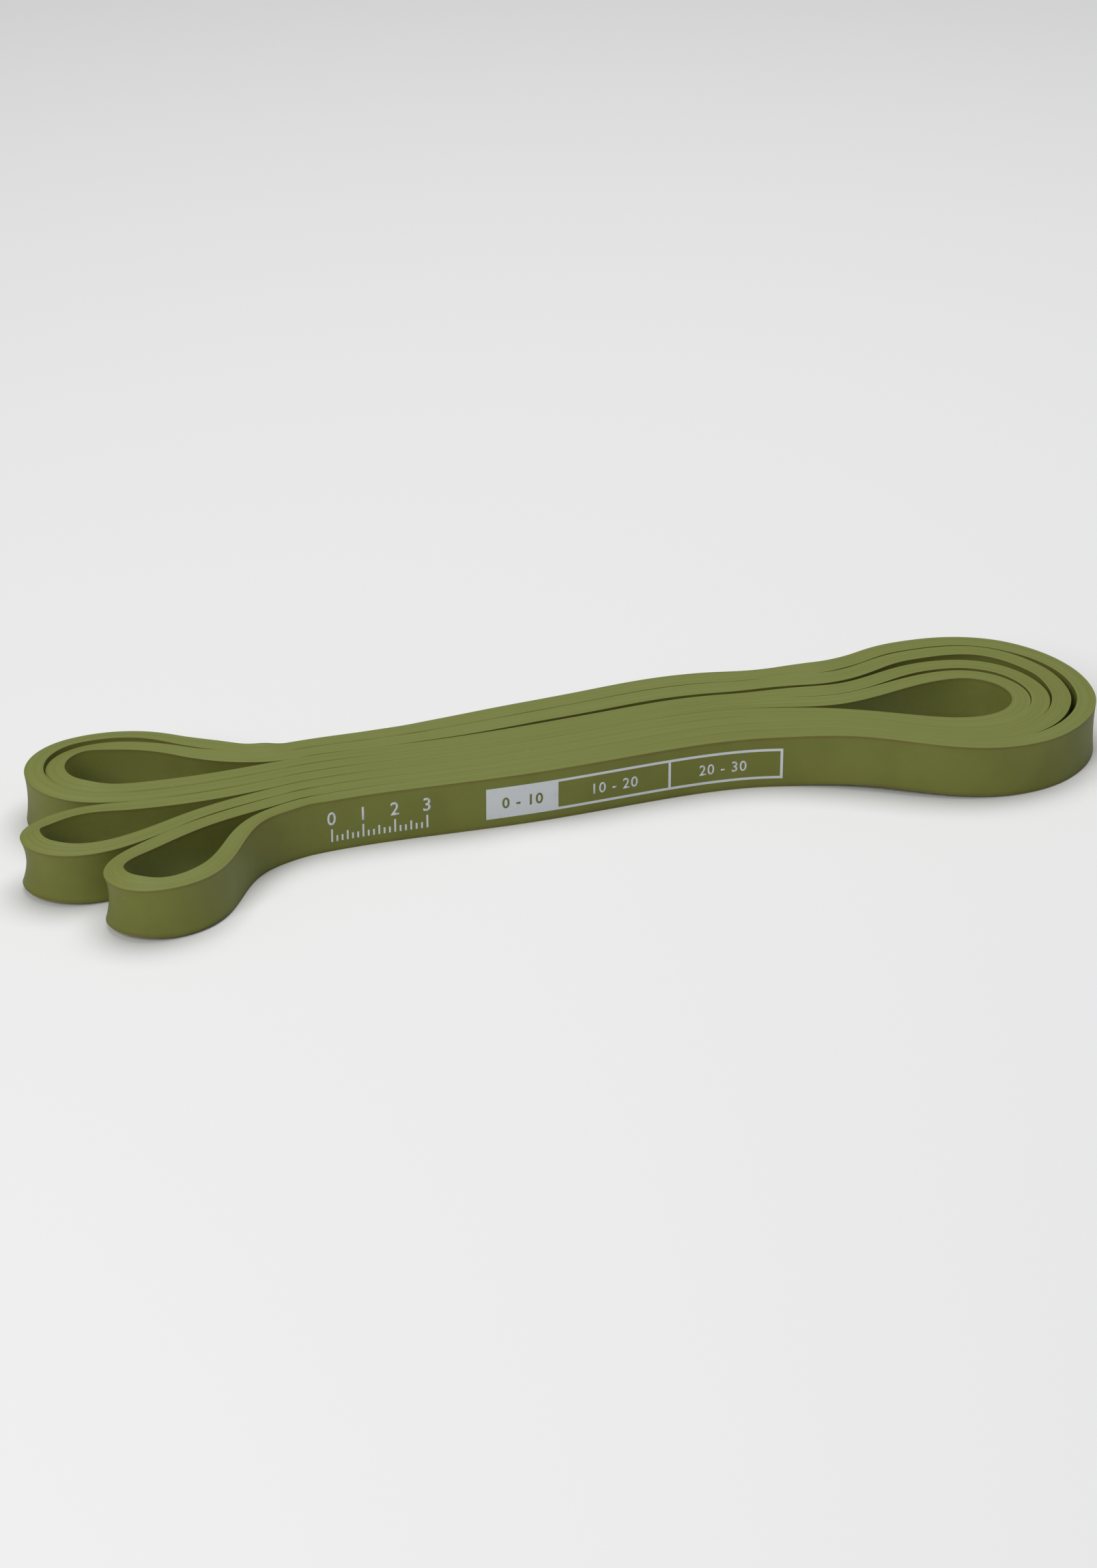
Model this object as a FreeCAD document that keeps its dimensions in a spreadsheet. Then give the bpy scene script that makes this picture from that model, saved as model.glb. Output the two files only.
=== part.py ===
"""Resistance band: one endless layered-latex loop, folded into a bundle that stands on its edge.

Frame: +X along the bundle towards the end where all four turns nest, +Y to the back, +Z up.
The origin is the centre of the footprint. Lengths are millimetres, angles are radians.

The loop runs strand 1, outer right turn, strand 8, front lobe, strand 7, third right turn,
strand 2, inner turn of the back lobe, strand 3, second right turn, strand 6, middle lobe,
strand 5, inner right turn, strand 4, outer turn of the back lobe, and so back to strand 1.
Every stretch of it is one body, and neighbouring stretches meet face to face.
"""
import FreeCAD, Part
import math
import os
import Sketcher

Vector = FreeCAD.Vector

DRIVING_SIZES = [
    ("band_width", 12.7, "height of the standing band"),
    ("band_thickness", 4.5, "all latex layers together"),
    ("strand_gap", 0.2, "clearance between neighbouring strands"),
    ("core_gap", 1.2, "extra gap between strands 2 and 3, as they lie apart"),
    ("overall_length", 263.0, "left face of the middle lobe to the right face of the outer turn"),
    ("overall_depth", 84.0, "front face of the front lobe to the back face of the back lobe"),
    ("bundle_front", -12.5, "Y of the front face of strand 8"),
    ("strand_start", -59.0, "X where the strands end and the necks begin"),
    ("strand_length", 103.0, "straight strands between the necks and the right turns"),
    ("neck_length", 8.0, "short straight stretches that carry the lobes"),
    ("eye_width", 22.1, "clear width inside the inner right turn"),
    ("eye_front", -18.95, "Y of the front wall of that eye"),
    ("right_gap_back_1", 2.5, "extra gap behind the inner right turn"),
    ("right_gap_back_2", 3.1, "extra gap behind the second right turn"),
    ("right_gap_back_3", 0.9, "extra gap behind the third right turn"),
    ("right_gap_end_1", 1.2, "extra gap at the far end of the inner right turn"),
    ("right_gap_end_2", 1.6, "extra gap at the far end of the second right turn"),
    ("right_gap_end_3", 0.5, "extra gap at the far end of the third right turn"),
    ("right_back_bend", 35.0, "bend radius where strand 1 enters the right turns"),
    ("right_front_bend", 23.0, "bend radius where strand 8 enters the right turns"),
    ("lobe_bend", 24.0, "bend radius where strands 1 and 8 enter the lobes"),
    ("back_lobe_left", -123.5, "X of the left face of the back lobe"),
    ("back_lobe_gap", 1.3, "extra gap between the back lobe's two turns, at the back"),
    ("back_lobe_shift", 0.4, "how far the back lobe's front wall lies in front of strand 4"),
    ("middle_lobe_radius", 9.5, "centreline radius of the middle lobe's end"),
    ("middle_lobe_shift", 0.8, "how far the middle lobe's back wall lies in front of strand 5"),
    ("front_lobe_radius", 10.0, "centreline radius of the front lobe's end"),
    ("front_lobe_clearance", 3.18, "between the round ends of the middle and front lobes"),
    ("front_lobe_lean", 59.0, "degrees from +X down to the front lobe's end, seen from the middle lobe's"),
]
STRANDS = 8
BACK_STRANDS = 2

doc = FreeCAD.newDocument("ResistanceBand")
sheet = doc.addObject("Spreadsheet::Sheet", "sizes")


def fill_sheet():
    """One row for each driving size: its meaning, its plain number and its alias."""
    for row, (alias, value, meaning) in enumerate(DRIVING_SIZES, start=1):
        sheet.set(f"A{row}", meaning)
        sheet.set(f"B{row}", str(value))
        sheet.setAlias(f"B{row}", alias)
    doc.recompute()


def size(alias):
    """The number in the sheet's cell of that alias."""
    return float(sheet.get(alias))


fill_sheet()
thickness = size("band_thickness")
pitch = thickness + size("strand_gap")
strand_end = size("strand_start") + size("strand_length")
lobe_start = size("strand_start") - size("neck_length")


def strand_y(number):
    """Y of a strand's centreline; strand 1 is at the back and strand 8 at the front."""
    across = (STRANDS - number) * pitch
    if number <= BACK_STRANDS:
        across += size("core_gap")
    return size("bundle_front") + thickness / 2 + across


def strand_y_expression(number):
    """The same place as an expression of the sheet's cells."""
    steps = STRANDS - number
    text = "sizes.bundle_front + sizes.band_thickness / 2"
    text += f" + {steps} * (sizes.band_thickness + sizes.strand_gap)"
    if number <= BACK_STRANDS:
        text += " + sizes.core_gap"
    return text


# ---------------------------------------------------------------- sketches

def origin_plane(body, role):
    """One of a body's own origin planes, found by its role."""
    for feature in body.Origin.OriginFeatures:
        if feature.Role == role:
            return feature
    raise RuntimeError(f"{body.Label} has no {role}")


def new_sketch(body, name, role):
    """An empty sketch on one of the body's origin planes."""
    sketch = body.newObject("Sketcher::SketchObject", name)
    sketch.AttachmentSupport = [(origin_plane(body, role), "")]
    sketch.MapMode = "FlatFace"
    return sketch


def bind(sketch, constraint, name, expression):
    """Add a sketch dimension and tie it to the sheet."""
    index = sketch.addConstraint(constraint)
    sketch.renameConstraint(index, name)
    sketch.setExpression(f"Constraints.{name}", expression)


def section_sketch(body):
    """The band's rectangular section: centred across, standing on the body's XY plane."""
    sketch = new_sketch(body, "Section", "YZ_Plane")
    half = thickness / 2
    top = size("band_width")
    corners = [Vector(-half, 0, 0), Vector(half, 0, 0), Vector(half, top, 0), Vector(-half, top, 0)]
    for start, end in zip(corners, corners[1:] + corners[:1]):
        sketch.addGeometry(Part.LineSegment(start, end), False)
    for side in range(4):
        sketch.addConstraint(Sketcher.Constraint("Coincident", side, 2, (side + 1) % 4, 1))
    for side in (0, 2):
        sketch.addConstraint(Sketcher.Constraint("Horizontal", side))
    for side in (1, 3):
        sketch.addConstraint(Sketcher.Constraint("Vertical", side))
    sketch.addConstraint(Sketcher.Constraint("Symmetric", 0, 1, 0, 2, -1, 1))
    bind(sketch, Sketcher.Constraint("DistanceX", 0, 1, 0, 2, thickness), "across", "sizes.band_thickness")
    bind(sketch, Sketcher.Constraint("DistanceY", 1, 1, 1, 2, top), "upright", "sizes.band_width")
    return sketch


# ---------------------------------------------------------------- tangent geometry of a turn

class Circle:
    """A circle that the band runs round: sense is +1 to the left (counter-clockwise), -1 to the right."""

    def __init__(self, x, y, radius, sense):
        self.centre = Vector(x, y, 0)
        self.radius = radius
        self.sense = sense

    def point(self, heading):
        """The point where the band has this heading."""
        outward = Vector(math.sin(heading), -math.cos(heading), 0)
        return self.centre + outward * (self.radius * self.sense)


def common_heading(first, second):
    """Heading of the straight run from one circle to the next, or None where they lie too close."""
    between = second.centre - first.centre
    lean = (second.radius * second.sense - first.radius * first.sense) / between.Length
    if abs(lean) >= 1:
        return None
    return math.atan2(between.y, between.x) - math.asin(lean)


def wrap(angle):
    """An angle between -pi and pi."""
    return math.atan2(math.sin(angle), math.cos(angle))


def entry_circle(end, start, heading, bend, leaving):
    """The bend between a strand's end and the round end, curving whichever way suits, with its heading."""
    for sense in (1, -1):
        side = Vector(-math.sin(heading), math.cos(heading), 0) * (bend * sense)
        circle = Circle(start.x + side.x, start.y + side.y, bend, sense)
        run = common_heading(circle, end) if leaving else common_heading(end, circle)
        if run is None:
            continue
        swing = wrap(run - heading) if leaving else wrap(heading - run)
        if swing * sense >= 0:
            return circle, run
    raise RuntimeError("a turn's bend doesn't reach its round end")


def arc_of(circle, heading_in, heading_out):
    """The arc round a circle between two headings, as a sketch arc, and whether it runs backwards."""
    first = circle.point(heading_in) - circle.centre
    last = circle.point(heading_out) - circle.centre
    angles = [math.atan2(first.y, first.x), math.atan2(last.y, last.x)]
    backwards = circle.sense < 0
    if backwards:
        angles.reverse()
    plain = Part.Circle(circle.centre, Vector(0, 0, 1), circle.radius)
    return Part.ArcOfCircle(plain, angles[0], angles[1]), backwards


def spine_sketch(body, turn):
    """The centreline of a turn: bend, straight run, round end, straight run, bend back."""
    heading = turn["heading"]
    start = Vector(0, 0, 0)
    finish = Vector(0, turn["across"], 0)
    end = Circle(turn["x"], turn["y"], turn["radius"], turn["sense"])
    first, way_out = entry_circle(end, start, heading, turn["bend_in"], True)
    last, way_back = entry_circle(end, finish, heading + math.pi, turn["bend_out"], False)

    sketch = new_sketch(body, "Spine", "XY_Plane")
    sketch.setExpression("AttachmentOffset.Base.z", "sizes.band_width / 2")
    pieces = [
        arc_of(first, heading, way_out),
        (Part.LineSegment(first.point(way_out), end.point(way_out)), False),
        arc_of(end, way_out, way_back),
        (Part.LineSegment(end.point(way_back), last.point(way_back)), False),
        arc_of(last, way_back, heading + math.pi),
    ]
    for curve, backwards in pieces:
        sketch.addGeometry(curve, False)
    starts = [2 if backwards else 1 for curve, backwards in pieces]
    ends = [1 if backwards else 2 for curve, backwards in pieces]
    for piece in range(len(pieces) - 1):
        joined = (piece, ends[piece], piece + 1, starts[piece + 1])
        sketch.addConstraint(Sketcher.Constraint("Tangent", *joined))
    origin = (-1, 1)
    upright_axis = -2
    centre = 3
    sketch.addConstraint(Sketcher.Constraint("Coincident", 0, starts[0], *origin))
    sketch.addConstraint(Sketcher.Constraint("PointOnObject", 0, centre, upright_axis))
    sketch.addConstraint(Sketcher.Constraint("PointOnObject", 4, ends[4], upright_axis))
    sketch.addConstraint(Sketcher.Constraint("PointOnObject", 4, centre, upright_axis))
    bind(sketch, Sketcher.Constraint("Radius", 0, turn["bend_in"]), "bend_in", turn["bend_in_expression"])
    bind(sketch, Sketcher.Constraint("Radius", 4, turn["bend_out"]), "bend_out", turn["bend_out_expression"])
    sketch.addConstraint(Sketcher.Constraint("Radius", 2, turn["radius"]))
    sketch.addConstraint(Sketcher.Constraint("DistanceX", *origin, 2, centre, turn["x"]))
    sketch.addConstraint(Sketcher.Constraint("DistanceY", *origin, 2, centre, turn["y"]))
    sketch.addConstraint(Sketcher.Constraint("DistanceY", *origin, 4, ends[4], turn["across"]))
    return sketch, len(pieces)


# ---------------------------------------------------------------- stretches of the band

def new_body(label, number, x_expression):
    """An empty body whose origin is where a strand's centreline begins the stretch."""
    body = doc.addObject("PartDesign::Body", label)
    body.Label = label
    body.setExpression("Placement.Base.x", x_expression)
    body.setExpression("Placement.Base.y", strand_y_expression(number))
    return body


def straight_stretch(label, number, x_expression, length_expression):
    """A straight stretch of one strand, from the given X towards +X."""
    body = new_body(label, number, x_expression)
    pad = body.newObject("PartDesign::Pad", "Length")
    pad.Profile = section_sketch(body)
    pad.setExpression("Length", length_expression)
    return body


def turned_stretch(label, number, x_expression, turn):
    """A stretch that leaves one strand, goes round its own end and comes back to another."""
    body = new_body(label, number, x_expression)
    section = section_sketch(body)
    spine, edges = spine_sketch(body, turn)
    pipe = body.newObject("PartDesign::AdditivePipe", "Band")
    pipe.Profile = section
    pipe.Spine = (spine, [f"Edge{edge}" for edge in range(1, edges + 1)])
    return body


def nested_bend(alias, number):
    """Radius where a strand enters a turn, and its expression: bends side by side share one centre."""
    steps = min(number - 1, STRANDS - number)
    radius = size(alias) + steps * pitch
    return radius, f"sizes.{alias} + {steps} * (sizes.band_thickness + sizes.strand_gap)"


def make_turn(leaves, returns, end_box, heading, alias_in, alias_out):
    """A turn's numbers from the far end, back and front of its centreline, seen from its first strand."""
    far, back, front = end_box
    bend_in, bend_in_expression = nested_bend(alias_in, leaves)
    bend_out, bend_out_expression = nested_bend(alias_out, returns)
    radius = (back - front) / 2
    outward = 1 if heading == 0 else -1
    first_x = strand_end if outward > 0 else lobe_start
    return {
        "heading": heading,
        "sense": -1,
        "radius": radius,
        "x": far - outward * radius - first_x,
        "y": (back + front) / 2 - strand_y(leaves),
        "across": strand_y(returns) - strand_y(leaves),
        "bend_in": bend_in,
        "bend_out": bend_out,
        "bend_in_expression": bend_in_expression,
        "bend_out_expression": bend_out_expression,
    }


def right_turn_boxes():
    """Far end, back and front of the four nested right turns' centrelines, the inner one first."""
    far = size("overall_length") / 2 - thickness / 2
    for number in (3, 2, 1):
        far -= pitch + size(f"right_gap_end_{number}")
    front = size("eye_front") - thickness / 2
    back = front + size("eye_width") + thickness
    boxes = [(far, back, front)]
    for number in (1, 2, 3):
        far += pitch + size(f"right_gap_end_{number}")
        back += pitch + size(f"right_gap_back_{number}")
        front -= pitch
        boxes.append((far, back, front))
    return boxes


def lobe_boxes():
    """Far end, back and front of each lobe turn's centreline, by name."""
    middle_radius = size("middle_lobe_radius")
    front_radius = size("front_lobe_radius")
    middle_far = thickness / 2 - size("overall_length") / 2
    middle_edge = strand_y(5) - size("middle_lobe_shift")
    apart = middle_radius + front_radius + thickness + size("front_lobe_clearance")
    lean = math.radians(size("front_lobe_lean"))
    front_x = middle_far + middle_radius + apart * math.cos(lean)
    front_y = middle_edge - middle_radius - apart * math.sin(lean)

    back_far = size("back_lobe_left") + thickness / 2
    back_edge = front_y - front_radius + size("overall_depth") - thickness
    back_front = strand_y(4) - size("back_lobe_shift")
    inner_edge = back_edge - pitch - size("back_lobe_gap")
    inner_far = back_far + pitch + size("back_lobe_gap") / 2
    return {
        "back_lobe_outer": (back_far, back_edge, back_front),
        "back_lobe_inner": (inner_far, inner_edge, back_front + pitch),
        "middle_lobe": (middle_far, middle_edge, middle_edge - 2 * middle_radius),
        "front_lobe": (front_x - front_radius, front_y + front_radius, front_y - front_radius),
    }


def build_strands_and_necks():
    """Eight straight strands and the eight short necks that carry the lobes."""
    for number in range(1, STRANDS + 1):
        yield straight_stretch(f"strand_{number}", number, "sizes.strand_start", "sizes.strand_length")
        neck_x = "sizes.strand_start - sizes.neck_length"
        yield straight_stretch(f"neck_{number}", number, neck_x, "sizes.neck_length")


def build_right_turns():
    """Turn 1, the inner one, joins strands 4 and 5; turn 4, the outer one, joins strands 1 and 8."""
    strand_end_x = "sizes.strand_start + sizes.strand_length"
    for number, box in enumerate(right_turn_boxes(), start=1):
        leaves, returns = 5 - number, 4 + number
        turn = make_turn(leaves, returns, box, 0, "right_back_bend", "right_front_bend")
        yield turned_stretch(f"right_turn_{number}", leaves, strand_end_x, turn)


def build_lobes():
    """The four left turns: two in the back lobe, one in the middle lobe and one in the front lobe."""
    joins = {"back_lobe_outer": (4, 1), "back_lobe_inner": (3, 2), "middle_lobe": (6, 5), "front_lobe": (8, 7)}
    lobe_x = "sizes.strand_start - sizes.neck_length"
    for name, box in lobe_boxes().items():
        leaves, returns = joins[name]
        turn = make_turn(leaves, returns, box, math.pi, "lobe_bend", "lobe_bend")
        yield turned_stretch(name, leaves, lobe_x, turn)


def check(bodies):
    """Stop if any feature failed, or any sub-part has no valid solid."""
    for item in doc.Objects:
        if "Invalid" in item.State or "Error" in item.State:
            raise RuntimeError(f"{item.Label} failed: {item.State}")
    for body in bodies:
        if body.Shape.isNull() or not body.Shape.isValid() or len(body.Shape.Solids) != 1:
            raise RuntimeError(f"{body.Label} has no valid solid")


parts = [*build_strands_and_necks(), *build_right_turns(), *build_lobes()]
doc.recompute()
check(parts)

band_section = size("band_width") * thickness
loop_length = sum(body.Shape.Volume for body in parts) / band_section
print(f"length of the loop along its centreline: {loop_length:.1f} mm")

os.makedirs("parts", exist_ok=True)
for body in parts:
    body.Shape.exportStep(f"parts/{body.Label}.step")
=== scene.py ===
import math

import bpy
import numpy as np
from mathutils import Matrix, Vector


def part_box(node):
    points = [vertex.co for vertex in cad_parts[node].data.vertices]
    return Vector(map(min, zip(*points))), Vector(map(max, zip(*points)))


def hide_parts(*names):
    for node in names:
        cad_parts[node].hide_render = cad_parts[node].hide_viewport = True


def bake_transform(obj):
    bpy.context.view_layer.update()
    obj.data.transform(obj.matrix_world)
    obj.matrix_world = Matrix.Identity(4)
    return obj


bl_info = {
    "name": "Folded resistance band",
    "version": (1, 0, 0),
    "blender": (4, 5, 0),
    "location": "3D View > Sidebar > Band",
    "description": "Layered latex loop band, folded into a bundle that stands on its edge",
    "category": "Add Mesh",
}

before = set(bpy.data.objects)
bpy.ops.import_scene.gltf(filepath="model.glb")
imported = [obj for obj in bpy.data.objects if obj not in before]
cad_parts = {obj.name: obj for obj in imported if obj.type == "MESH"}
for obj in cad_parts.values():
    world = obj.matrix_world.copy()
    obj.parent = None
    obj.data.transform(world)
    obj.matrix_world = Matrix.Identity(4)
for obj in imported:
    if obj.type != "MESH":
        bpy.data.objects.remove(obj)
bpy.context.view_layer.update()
MM = 0.001
STRANDS = 8
BAND_THICKNESS = 4.5
STRAND_LOW, STRAND_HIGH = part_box("strand_8")
NECK_LOW, NECK_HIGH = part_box("neck_8")
HUB_X = NECK_LOW.x / MM
LOOP_X = STRAND_HIGH.x / MM
BAND_WIDTH = (STRAND_HIGH.z - STRAND_LOW.z) / MM


class BandSettings(bpy.types.PropertyGroup):
    """Sizes of the band that a user may change."""

    poisson: bpy.props.FloatProperty(
        name="Sideways give", description="How much a bend flares the band's edges, 0.5 for rubber",
        default=0.42)
    edge_radius: bpy.props.FloatProperty(
        name="Edge radius", description="Rounding of the band's four long edges",
        subtype="DISTANCE", precision=5, default=0.0001)
    ring_step: bpy.props.FloatProperty(
        name="Ring step", description="Distance between the mesh's rings along the band",
        subtype="DISTANCE", precision=5, default=0.001)
    smoothing: bpy.props.FloatProperty(
        name="Smoothing", description="How far the band's stiffness evens out its line",
        subtype="DISTANCE", precision=5, default=0.0024)


class FinishSettings(bpy.types.PropertyGroup):
    """Colours of the latex and of the print."""

    latex: bpy.props.FloatVectorProperty(
        name="Latex", description="Colour of the latex", subtype="COLOR", size=3,
        default=(0.152, 0.166, 0.032))
    latex_deep: bpy.props.FloatVectorProperty(
        name="Deep latex", description="Colour of its darker clouds", subtype="COLOR", size=3,
        default=(0.128, 0.139, 0.025))
    edge_brown: bpy.props.FloatVectorProperty(
        name="Edge brown", description="Colour where the outer ply ends", subtype="COLOR", size=3,
        default=(0.120, 0.088, 0.020))
    # Painted light: a lighter green for the cut edges and their rounding, which face up, standing in for
    # the light that falls on them from above
    rim: bpy.props.FloatVectorProperty(
        name="Rim", description="Colour of the band's cut edges", subtype="COLOR", size=3,
        default=(0.172, 0.196, 0.043))
    bloom: bpy.props.FloatVectorProperty(
        name="Bloom", description="Pale streaks and flecks where the latex has bloomed",
        subtype="COLOR", size=3, default=(0.26, 0.28, 0.12))
    ink_shade: bpy.props.FloatVectorProperty(
        name="Ink shade", description="Colour of the ink's darker clouds", subtype="COLOR", size=3,
        default=(0.46, 0.50, 0.53))
    print_ink: bpy.props.FloatVectorProperty(
        name="Ink", description="Colour of the printed marks", subtype="COLOR", size=3,
        default=(0.55, 0.58, 0.60))


# ------------------------------------------------------------------ the band's line, in mm
#
# Lines are (X, Y) points for a smooth curve. Tables along the bundle are (X, value), and tables along a
# turn are (share of its length, value).

def arc(centre, radius, first, last):
    """Points round an arc from one angle to another, about 30 degrees apart."""
    steps = round(abs(last - first) / 30)
    angles = np.radians(np.linspace(first, last, steps + 1))
    x, y = centre
    return [(x + radius * math.cos(angle), y + radius * math.sin(angle)) for angle in angles]


FRONT_FACE = [(-76, -13.5), (-56, -11.7), (-40, -12), (-12, -13.2), (20, -12), (36, -12.3), (54, -15.2)]
CORE_GAP = [(-67, 0), (-42, 0), (-30, 0.4), (0, 1.1), (25, 1.4), (44, 1.2)]
BACK_GAP = [(-67, 0), (-55, 0), (-40, 0.2), (44, 0.2)]
INNER_LAYER = [(-67, 4.15), (-36, 4.0), (5, 4.2), (44, 4.4)]
BACK_LAYER = [(-67, 4.35), (-45, 4.15), (-12, 4.7), (44, 4.85)]
BACK_LEAN = [(-67, 0), (-45, 2), (-5, 6), (44, 7)]

INNER_EYE = [(56, 3.5), (68, 0.5), (82, 2.5), *arc((98.8, -8.4), 13.6, 95, -95), (82, -15),
             (64, -4.5)]
BACK_LOBE_EYE = [(-78.5, 19), (-89.5, 27.5), *arc((-105.4, 22.1), 11.4, 75, 270), (-92, 9.2),
                 (-78.5, 9.5)]
BACK_LOBE_OUTSIDE = [(-79, 25), (-90.5, 34.2), *arc((-104.9, 22.5), 16.6, 80, 265), (-92, 4.7),
                     (-78.5, 5)]
MIDDLE_LOBE = [(-78, -4.4), (-91, -8.2), (-104, -14), *arc((-120.3, -8.2), 9.4, 260, 170), (-125, -1.5),
               (-114, 2), (-104, 1.1), (-90, 0), (-79, 0.5)]
FRONT_LOBE = [(-79.5, -15.7), (-88.5, -27), (-97, -37), *arc((-108.6, -32), 7.8, 275, 140), (-106, -20.3),
              (-91.5, -13.1), (-78, -8.9)]
SECOND_TURN_GAP = [(0, 0), (0.22, 0), (0.33, 1.1), (0.42, 0.8), (0.49, 0.3), (0.54, 0), (1, 0)]
THIRD_TURN_GAP = [(0, 1.2), (0.12, 0.9), (0.22, 1.0), (0.30, 1.9), (0.38, 3.1), (0.45, 1.9), (0.51, 0.6),
                  (0.56, 0.1), (0.60, 0), (1, 0)]
OUTER_TURN_GAP = [(0, 0.2), (0.12, 0), (0.39, 0), (0.45, 0.9), (0.5, 1.4), (0.56, 1.3), (0.62, 0.5),
                  (0.68, 0), (1, 0)]
TURN_LIFT = [(0, 0), (0.12, 0.65), (0.2, 0.5), (0.36, 0.35), (0.5, 0.05), (0.66, 0), (0.86, 0.45), (1, 0)]
TURN_LEAN = [(0, 3), (0.12, 7), (0.2, 5), (0.36, 4.5), (0.5, 0), (1, 0)]
NEST_HOLD = [(-8, 1), (14, 0.3)]
LOBE_LEAN = [(0, 0), (0.12, 6), (0.3, 5), (0.42, 0), (1, 0)]
LOBE_LIFT = [(0, 0), (0.64, 0), (0.8, 0.7), (0.9, 0.6), (1, 0)]
LEAN_START = [(0, 0), (0.1, 1)]
HANDOVER = [(0, 1), (0.08, 0)]
JOIN_LENGTH = 22
MIDDLE_SHARE = 0.45
LOOSE_THICKNESS = 4.6
LOOSE_FROM = 4.8
CURVE_SMOOTHING = 1.5
LINE_STEP = 0.5


def eased(table, values):
    """A smooth curve through a few (place, value) pairs, flat before the first and after the last."""
    places, heights = np.array(table, float).T
    values = np.clip(values, places[0], places[-1])
    index = np.clip(np.searchsorted(places, values, side="right") - 1, 0, len(places) - 2)
    share = (values - places[index]) / (places[index + 1] - places[index])
    share = share * share * (3 - 2 * share)
    return heights[index] * (1 - share) + heights[index + 1] * share


def lengths(points):
    """Distance along a line of points, starting at 0."""
    steps = np.hypot(*np.diff(points[:, :2], axis=0).T)
    return np.concatenate([[0], np.cumsum(steps)])


def spline(points, step=LINE_STEP):
    """A natural cubic spline through a few points, sampled evenly."""
    points = np.array(points, float)
    at = lengths(points)
    count = len(points)
    gaps = np.diff(at)
    matrix = np.eye(count)
    right = np.zeros((count, 2))
    for i in range(1, count - 1):
        matrix[i, i - 1:i + 2] = gaps[i - 1], 2 * (gaps[i - 1] + gaps[i]), gaps[i]
        right[i] = 6 * ((points[i + 1] - points[i]) / gaps[i] - (points[i] - points[i - 1]) / gaps[i - 1])
    bends = np.linalg.solve(matrix, right)
    places = np.linspace(0, at[-1], int(at[-1] / step) + 1)
    i = np.clip(np.searchsorted(at, places, side="right") - 1, 0, count - 2)
    before, after = (places - at[i])[:, None], (at[i + 1] - places)[:, None]
    gap = gaps[i][:, None]
    curve = bends[i] * after ** 3 + bends[i + 1] * before ** 3
    curve = curve / (6 * gap)
    curve += (points[i] / gap - bends[i] * gap / 6) * after
    curve += (points[i + 1] / gap - bends[i + 1] * gap / 6) * before
    return curve


FRONT_LINE = spline(FRONT_FACE)


def left_normals(points):
    """Unit normals to the left of a line of points."""
    along = np.gradient(points[:, :2], axis=0)
    along /= np.hypot(*along.T)[:, None]
    return np.stack([-along[:, 1], along[:, 0]], 1)


def layer_thickness(number, x):
    """Thickness that a strand shows at X: the back two stand a little looser."""
    return eased(BACK_LAYER if number <= 2 else INNER_LAYER, x)


def strand_y(number, x):
    """Y of a strand's centreline at X."""
    y = np.interp(x, FRONT_LINE[:, 0], FRONT_LINE[:, 1])
    for layer in range(STRANDS, number, -1):
        y = y + layer_thickness(layer, x)
    y = y + layer_thickness(number, x) / 2
    if number <= 2:
        y = y + eased(CORE_GAP, x)
    if number == 1:
        y = y + eased(BACK_GAP, x)
    return y


def strand_line(number, towards_right):
    """A strand between the hub and the right loop: columns X, Y and thickness."""
    x = np.arange(HUB_X, LOOP_X + LINE_STEP / 2, LINE_STEP)
    line = np.stack([x, strand_y(number, x), layer_thickness(number, x)], 1)
    return line if towards_right else line[::-1]


def turn_line(first, last, side_x, points):
    """The spline of a turn from one strand to another, with its thickness."""
    start = (side_x, float(strand_y(first, np.array([side_x]))[0]))
    end = (side_x, float(strand_y(last, np.array([side_x]))[0]))
    curve = spline([start, *points, end])
    return add_thickness(curve, first, last, side_x)


def add_thickness(curve, first, last, side_x):
    """The thickness goes from the first strand's to the band's own and on to the last strand's."""
    ends = [float(layer_thickness(number, np.array([side_x]))[0]) for number in (first, last)]
    share = lengths(curve) / lengths(curve)[-1]
    middle = LOOSE_THICKNESS if ends[0] > LOOSE_FROM else BAND_THICKNESS
    thickness = eased([(0, ends[0]), (MIDDLE_SHARE, middle), (1, ends[1])], share)
    return np.column_stack([curve[:, :2], thickness])


def outside(inner, first, last, side_x, gaps):
    """The next turn out: its neighbour's line, moved outwards by the thickness and the gap between them."""
    share = lengths(inner) / lengths(inner)[-1]
    rough = add_thickness(inner, first, last, side_x)
    away = (inner[:, 2] + rough[:, 2]) / 2 + eased(gaps, share)
    moved = inner[:, :2] + left_normals(inner) * away[:, None]
    for end, number, from_end in ((0, first, share), (-1, last, 1 - share)):
        goal = np.array([side_x, float(strand_y(number, np.array([side_x]))[0])])
        fade = eased([(0, 1), (JOIN_LENGTH, 0)], from_end * lengths(inner)[-1])
        moved = moved + fade[:, None] * (goal - moved[end])
    return np.column_stack([moved, rough[:, 2]])


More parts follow.
